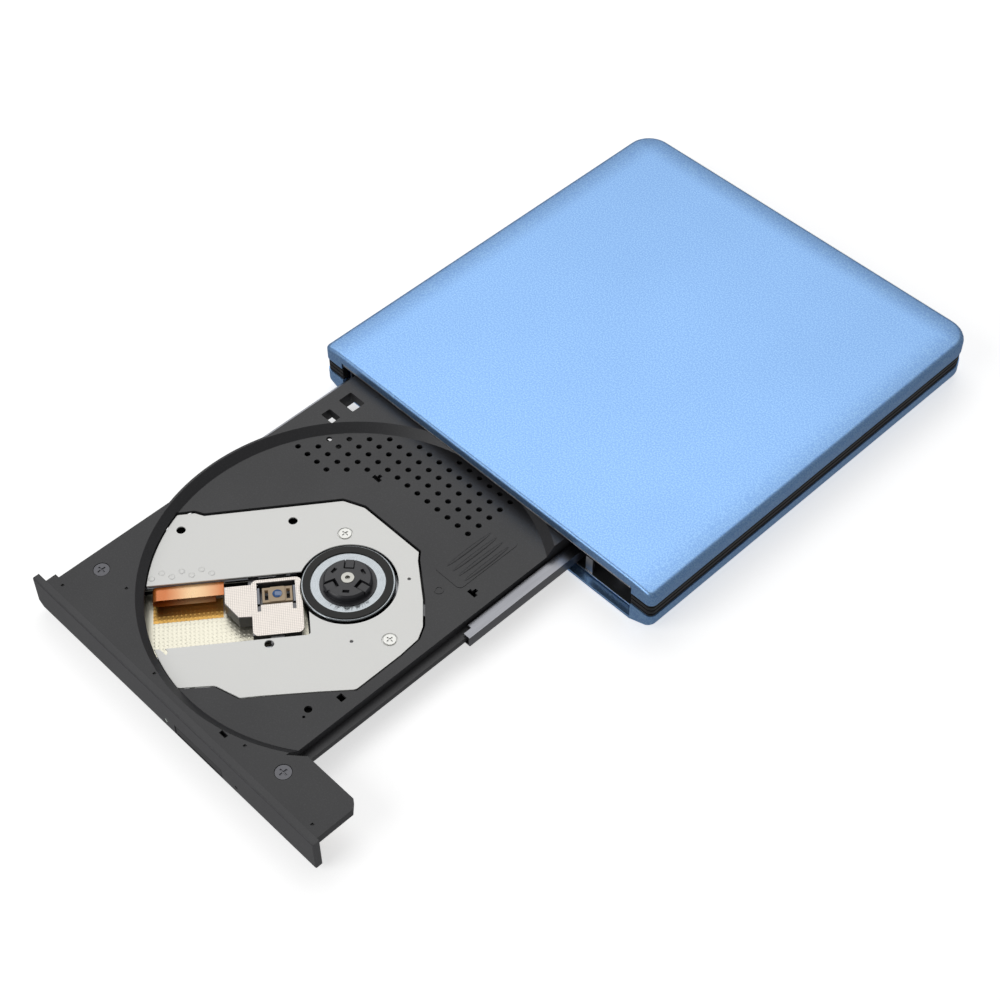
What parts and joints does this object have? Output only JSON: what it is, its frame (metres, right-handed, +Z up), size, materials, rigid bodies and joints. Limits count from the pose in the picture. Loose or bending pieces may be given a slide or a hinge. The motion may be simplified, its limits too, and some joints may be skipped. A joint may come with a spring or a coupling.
{
  "type": "external optical drive",
  "caption": "Slim external optical drive: crowned metal case, sliding disc tray on telescopic rails, spindle with spring claws, pickup on guide rods, eject button and latch.",
  "frame": {"origin": "centre of the whole object's footprint with the tray out, at the bottom of the feet", "axes": "+Z up, +Y from the bezel into the drive, +X to the right seen from the bezel"},
  "size_m": [0.1466, 0.2804, 0.019],
  "materials": {
    "bezel_plastic": "fine texture",
    "black_plastic": "fine texture",
    "black_screw": "black oxide",
    "blue_aluminium": "satin sparkle anodised",
    "board_green": "solder mask",
    "bush_metal": "pale",
    "cast_metal": "die cast",
    "chip_black": "epoxy",
    "coil_copper": "enamelled",
    "connector_black": "matt",
    "cover_metal": "plated",
    "flex_orange": "polyimide",
    "foot_rubber": "matt",
    "frame_plastic": "matt",
    "hub_plastic": "semi gloss",
    "lens_glass": "coated",
    "lens_plastic": "amber",
    "light_plastic": "clear pipe",
    "magnet_metal": "nickel",
    "pickup_metal": "zinc die cast",
    "plate_metal": "white satin",
    "ring_rubber": "matt",
    "rod_steel": "ground",
    "rotor_metal": "bright",
    "screw_steel": "nickel plated",
    "zinc_steel": "zinc plated"
  },
  "bodies": {
    "case": {"top_shell": "blue_aluminium", "bottom_shell": "blue_aluminium", "mid_frame": "frame_plastic", "rubber_feet": "foot_rubber", "case_screws": "black_screw", "bridge_board": "board_green", "bridge_chip": "chip_black", "usb_socket": "screw_steel", "bridge_connector": "connector_black", "drive_chassis": "zinc_steel", "drive_cover": "zinc_steel", "drive_screws": "screw_steel", "guide_left": "frame_plastic", "guide_right": "frame_plastic", "main_board": "board_green", "board_chips": "chip_black", "drive_connector": "connector_black", "latch_post": "rod_steel", "eject_housing": "frame_plastic", "eject_pusher": "connector_black", "eject_spring": "rod_steel", "tray_flex": "flex_orange"},
    "rail_left": {"rail_left": "zinc_steel"},
    "rail_right": {"rail_right": "zinc_steel"},
    "tray": {"tray": "black_plastic", "wing_screws": "black_screw", "bezel": "bezel_plastic", "activity_light": "light_plastic", "tray_board": "board_green", "eject_switch": "chip_black", "tray_bottom_cover": "zinc_steel", "latch_pin": "rod_steel", "latch_solenoid": "coil_copper", "mechanism_plate": "plate_metal", "plate_screws": "screw_steel", "mechanism_frame": "cast_metal", "frame_dampers": "ring_rubber", "guide_rod_main": "rod_steel", "guide_rod_sub": "rod_steel", "sled_motor": "screw_steel", "spindle_base": "cast_metal", "spindle_bearing": "bush_metal", "pickup_flex": "flex_orange"},
    "button": {"eject_button": "bezel_plastic"},
    "rotor": {"turntable": "rotor_metal", "rubber_ring": "ring_rubber", "hub": "hub_plastic", "spindle_shaft": "bush_metal"},
    "claw_1": {"hub_claw_1": "hub_plastic"},
    "claw_2": {"hub_claw_2": "hub_plastic"},
    "claw_3": {"hub_claw_3": "hub_plastic"},
    "screw": {"lead_screw": "rod_steel"},
    "pickup": {"pickup_base": "pickup_metal", "pickup_cover": "cover_metal", "drive_nut": "connector_black", "pickup_magnets": "magnet_metal"},
    "lens": {"lens_holder": "lens_plastic", "lens": "lens_glass"},
    "latch": {"latch_lever": "connector_black"}
  },
  "joints": [
    {"name": "tray_slide", "type": "slide", "parent": "case", "child": "tray", "axis": [0, -1, 0], "range_m": [-0.1241, 0.005], "deforming": ["tray_flex"]},
    {"name": "rail_left_slide", "type": "slide", "parent": "case", "child": "rail_left", "axis": [0, -1, 0], "range_m": [-0.0497, 0.0021]},
    {"name": "rail_right_slide", "type": "slide", "parent": "case", "child": "rail_right", "axis": [0, -1, 0], "range_m": [-0.0497, 0.0021]},
    {"name": "eject_press", "type": "slide", "parent": "tray", "child": "button", "axis": [0, 1, 0], "range_m": [0, 0.0008], "stiffness_N_per_m": 300},
    {"name": "spindle_spin", "type": "hinge", "parent": "tray", "child": "rotor", "pos_m": [0.0021, -0.07285, 0.0121], "axis": [0, 0, 1], "continuous": true},
    {"name": "claw_1_press", "type": "slide", "parent": "rotor", "child": "claw_1", "axis": [0.3007, 0.9537, 0], "range_m": [0, 0.0004], "stiffness_N_per_m": 400},
    {"name": "claw_2_press", "type": "slide", "parent": "rotor", "child": "claw_2", "axis": [-0.9763, -0.2164, 0], "range_m": [0, 0.0004], "stiffness_N_per_m": 400},
    {"name": "claw_3_press", "type": "slide", "parent": "rotor", "child": "claw_3", "axis": [0.6756, -0.7373, 0], "range_m": [0, 0.0004], "stiffness_N_per_m": 400},
    {"name": "pickup_slide", "type": "slide", "parent": "tray", "child": "pickup", "axis": [-0.6088, -0.7934, 0], "range_m": [0, 0.0366], "deforming": ["pickup_flex"]},
    {"name": "lead_screw_spin", "type": "hinge", "parent": "tray", "child": "screw", "pos_m": [-0.0196, -0.08141, 0.0079], "axis": [-0.6088, -0.7934, 0], "range_deg": [-10, 4402]},
    {"name": "lens_focus", "type": "slide", "parent": "pickup", "child": "lens", "axis": [0, 0, 1], "range_m": [-0.0004, 0.0004], "stiffness_N_per_m": 60},
    {"name": "latch_swing", "type": "hinge", "parent": "tray", "child": "latch", "pos_m": [0.0545, -0.13465, 0.0061], "axis": [0, 0, 1], "range_deg": [0, 15], "stiffness_Nm_per_rad": 0.004}
  ],
  "couplings": [
    {"joint": "rail_left_slide", "follows": "tray_slide", "ratio": 0.4},
    {"joint": "rail_right_slide", "follows": "tray_slide", "ratio": 0.4},
    {"joint": "lead_screw_spin", "follows": "pickup_slide", "rad_per_m": 2094.4}
  ]
}
